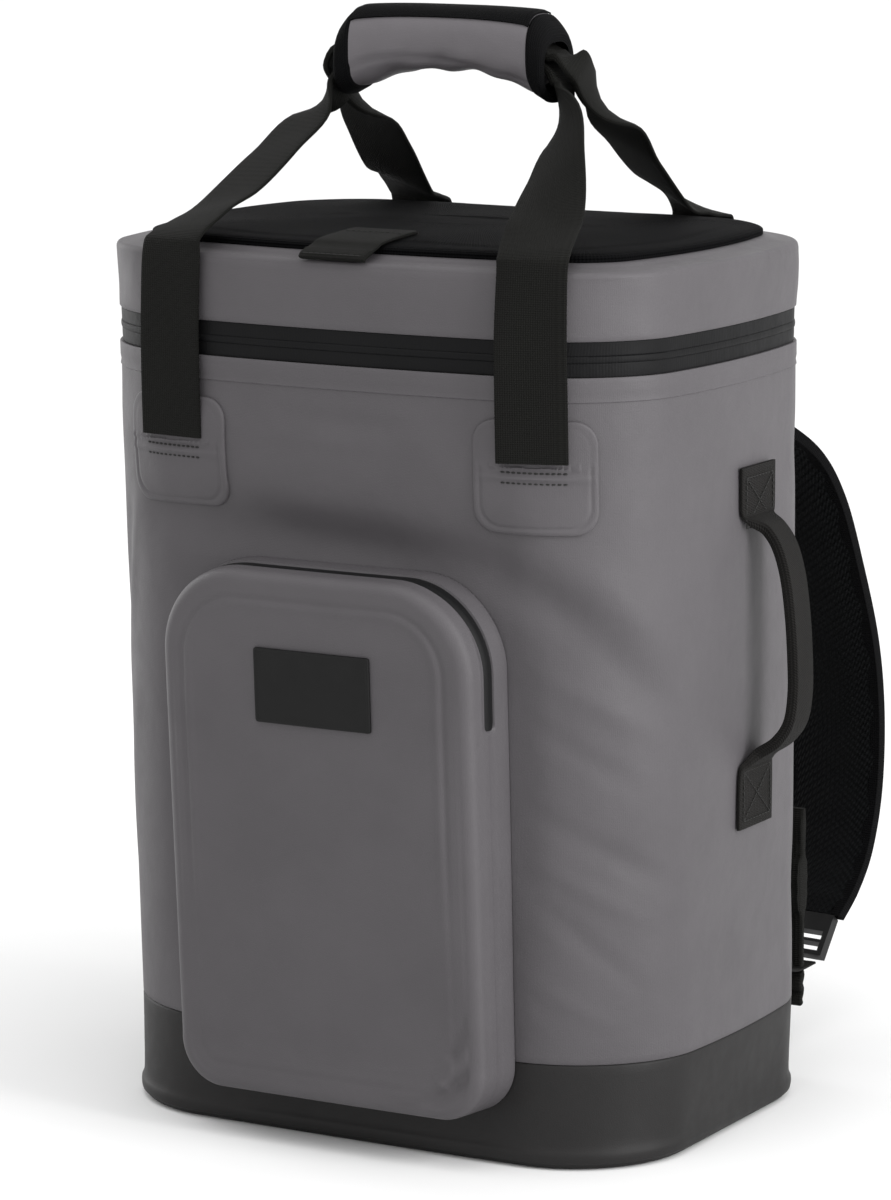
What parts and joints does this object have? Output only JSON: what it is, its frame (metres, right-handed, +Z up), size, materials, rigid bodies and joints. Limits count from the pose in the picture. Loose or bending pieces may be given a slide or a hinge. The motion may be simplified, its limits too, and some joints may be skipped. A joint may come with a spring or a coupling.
{
  "type": "cooler backpack",
  "caption": "Upright insulated backpack with a rounded box body, zipped lid, wrapped top grip on long webs, front pocket, side handles and padded shoulder straps.",
  "frame": {"origin": "centre of the foot, on the floor", "axes": "+Z up, -Y the front with the pocket, +X on the right of someone facing the front"},
  "size_m": [0.3904, 0.4069, 0.5787],
  "materials": {
    "coated_fabric": "matt grey coated fabric with welded seams",
    "boot_rubber": "matt black moulded",
    "webbing": "woven black webbing",
    "panel_fabric": "black padded woven fabric",
    "zip_tape": "black coated zip tape with a slight sheen",
    "binding": "black binding tape",
    "label_rubber": "plain matt black",
    "pad_mesh": "black ribbed air mesh",
    "hard_black": "matt black moulded"
  },
  "bodies": {
    "root": {"base_boot": "boot_rubber", "body_shell": "coated_fabric", "zip_band": "zip_tape", "lid": "coated_fabric", "top_panel": "panel_fabric", "lid_tab": "webbing", "front_anchor_right": "coated_fabric", "front_anchor_left": "coated_fabric", "back_anchor_right": "coated_fabric", "back_anchor_left": "coated_fabric", "handle_web_front": "webbing", "handle_web_back": "webbing", "grip": "coated_fabric", "grip_end_right": "binding", "grip_end_left": "binding", "grip_top_binding": "binding", "front_pocket": "coated_fabric", "pocket_zip": "zip_tape", "label": "label_rubber", "side_handle_right": "webbing", "side_handle_left": "webbing", "strap_yoke": "webbing", "shoulder_pad_right": "pad_mesh", "shoulder_pad_left": "pad_mesh", "strap_buckle_right": "hard_black", "strap_buckle_left": "hard_black", "lower_anchor_right": "coated_fabric", "lower_anchor_left": "coated_fabric", "lower_web_right": "webbing", "lower_web_left": "webbing", "tail_bundle_right": "webbing", "tail_bundle_left": "webbing", "tail_end_right": "webbing", "tail_end_left": "webbing"}
  },
  "joints": []
}
